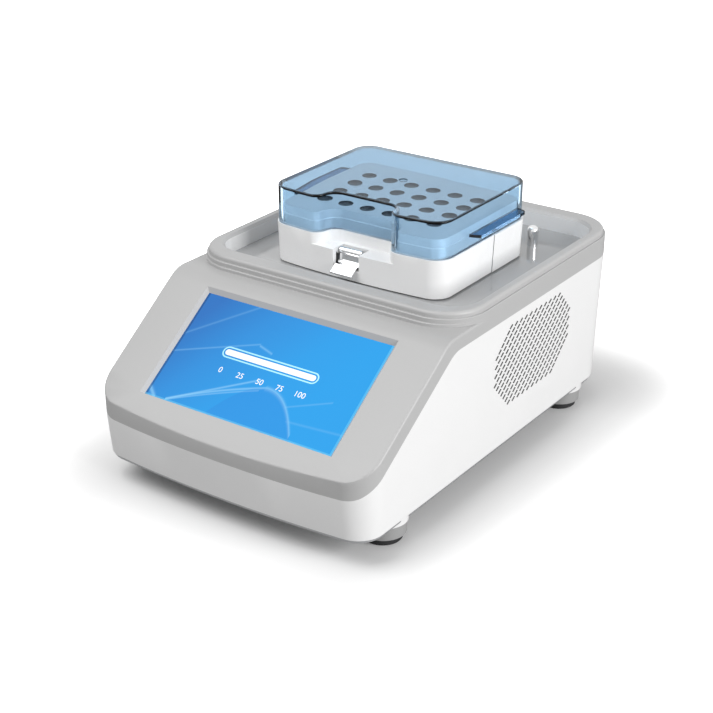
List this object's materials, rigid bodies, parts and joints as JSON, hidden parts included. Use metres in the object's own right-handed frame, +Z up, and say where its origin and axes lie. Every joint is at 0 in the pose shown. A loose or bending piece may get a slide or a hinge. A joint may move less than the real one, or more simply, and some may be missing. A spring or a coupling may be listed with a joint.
{
  "type": "thermal mixer",
  "caption": "Benchtop thermal mixer with a heated orbiting tube block under a clear blue lid, a sunken well, a sloping touch console and vented sides.",
  "frame": {"origin": "on the bench, under the middle of the instrument's overall box", "axes": "+Z up, the console faces -Y, +X is the right side seen from the console"},
  "size_m": [0.228, 0.339, 0.1817],
  "materials": {
    "white_housing": "fine moulded texture",
    "grey_cover": "fine moulded texture",
    "well_floor": "glossy",
    "grey_foot": "moulded",
    "rubber": "matt",
    "steel": "plain",
    "plated_screw": "zinc plated",
    "chrome": "polished",
    "screen_glass": "lit touch display behind glass",
    "display_metal": "pressed frame",
    "board": "solder mask",
    "aluminium": "satin anodised",
    "motor": "black",
    "bearing": "ground",
    "ceramic": "ceramic tile",
    "foam": "foam",
    "carrier": "moulded",
    "lid": "clear pale blue",
    "black_plastic": "moulded",
    "galvanised": "folded sheet"
  },
  "bodies": {
    "chassis": {"lower_housing": "white_housing", "top_cover": "grey_cover", "well_floor": "well_floor", "opening_seal": "rubber", "well_post": "chrome", "base_plate": "galvanised", "base_screws": "plated_screw", "foot_rings": "grey_foot", "foot_screws": "plated_screw", "foot_pads": "rubber", "display_glass": "screen_glass", "display_module": "display_metal", "display_board": "board", "drive_bracket": "aluminium", "bracket_standoffs": "steel", "bracket_bearings": "bearing", "motor_stator": "motor", "motor_foot": "rubber", "right_fan_frame": "black_plastic", "left_fan_frame": "black_plastic", "power_inlet": "black_plastic", "switch_frame": "black_plastic", "power_supply": "galvanised", "control_board": "board"},
    "drive_rotor": {"motor_rotor": "steel", "eccentric_shaft": "steel", "counterweight": "steel"},
    "table": {"shaker_table": "aluminium", "table_bearings": "bearing", "heat_sink": "aluminium", "peltier_modules": "ceramic", "insulation_frame": "foam", "heating_plate": "aluminium", "temperature_sensor": "steel", "locating_dowels": "steel", "latch_striker": "steel"},
    "front_left_idler": {"front_left_crank": "steel"},
    "front_right_idler": {"front_right_crank": "steel"},
    "rear_left_idler": {"rear_left_crank": "steel"},
    "rear_right_idler": {"rear_right_crank": "steel"},
    "block_module": {"carrier_front": "carrier", "carrier_rear": "carrier", "tube_block": "aluminium", "latch_pin": "steel"},
    "latch": {"front_latch": "chrome"},
    "lid_body": {"lid": "lid"},
    "right_fan": {"right_fan_rotor": "black_plastic"},
    "left_fan": {"left_fan_rotor": "black_plastic"},
    "power_rocker": {"switch_rocker": "black_plastic"}
  },
  "joints": [
    {"name": "drive_spin", "type": "hinge", "parent": "chassis", "child": "drive_rotor", "pos_m": [0, 0.0428, 0.07], "axis": [0, 0, 1], "continuous": true},
    {"name": "table_orbit", "type": "hinge", "parent": "drive_rotor", "child": "table", "pos_m": [0.0015, 0.0428, 0.089], "axis": [0, 0, 1], "continuous": true},
    {"name": "front_left_crank_spin", "type": "hinge", "parent": "chassis", "child": "front_left_idler", "pos_m": [-0.052, 0.0028, 0.07], "axis": [0, 0, 1], "continuous": true},
    {"name": "front_right_crank_spin", "type": "hinge", "parent": "chassis", "child": "front_right_idler", "pos_m": [0.052, 0.0028, 0.07], "axis": [0, 0, 1], "continuous": true},
    {"name": "rear_left_crank_spin", "type": "hinge", "parent": "chassis", "child": "rear_left_idler", "pos_m": [-0.052, 0.0828, 0.07], "axis": [0, 0, 1], "continuous": true},
    {"name": "rear_right_crank_spin", "type": "hinge", "parent": "chassis", "child": "rear_right_idler", "pos_m": [0.052, 0.0828, 0.07], "axis": [0, 0, 1], "continuous": true},
    {"name": "block_lift", "type": "slide", "parent": "table", "child": "block_module", "axis": [0, 0, 1], "range_m": [0, 0.12]},
    {"name": "lid_lift", "type": "slide", "parent": "block_module", "child": "lid_body", "axis": [0, 0, 1], "range_m": [0, 0.08]},
    {"name": "latch_hinge", "type": "hinge", "parent": "block_module", "child": "latch", "pos_m": [-0.0047, -0.011, 0.1436], "axis": [1, 0, 0], "range_deg": [-40, 0], "stiffness_Nm_per_rad": 0.02, "springref_deg": 5.73},
    {"name": "right_fan_spin", "type": "hinge", "parent": "chassis", "child": "right_fan", "pos_m": [0.0984, 0.0419, 0.0806], "axis": [1, 0, 0], "continuous": true},
    {"name": "left_fan_spin", "type": "hinge", "parent": "chassis", "child": "left_fan", "pos_m": [-0.0984, 0.0419, 0.0806], "axis": [1, 0, 0], "continuous": true},
    {"name": "power_rocker_tip", "type": "hinge", "parent": "chassis", "child": "power_rocker", "pos_m": [-0.019, 0.1614, 0.047], "axis": [1, 0, 0], "range_deg": [-18, 0]}
  ],
  "couplings": [
    {"joint": "table_orbit", "follows": "drive_spin", "ratio": -1},
    {"joint": "front_left_crank_spin", "follows": "drive_spin", "ratio": 1},
    {"joint": "front_right_crank_spin", "follows": "drive_spin", "ratio": 1},
    {"joint": "rear_left_crank_spin", "follows": "drive_spin", "ratio": 1},
    {"joint": "rear_right_crank_spin", "follows": "drive_spin", "ratio": 1}
  ]
}
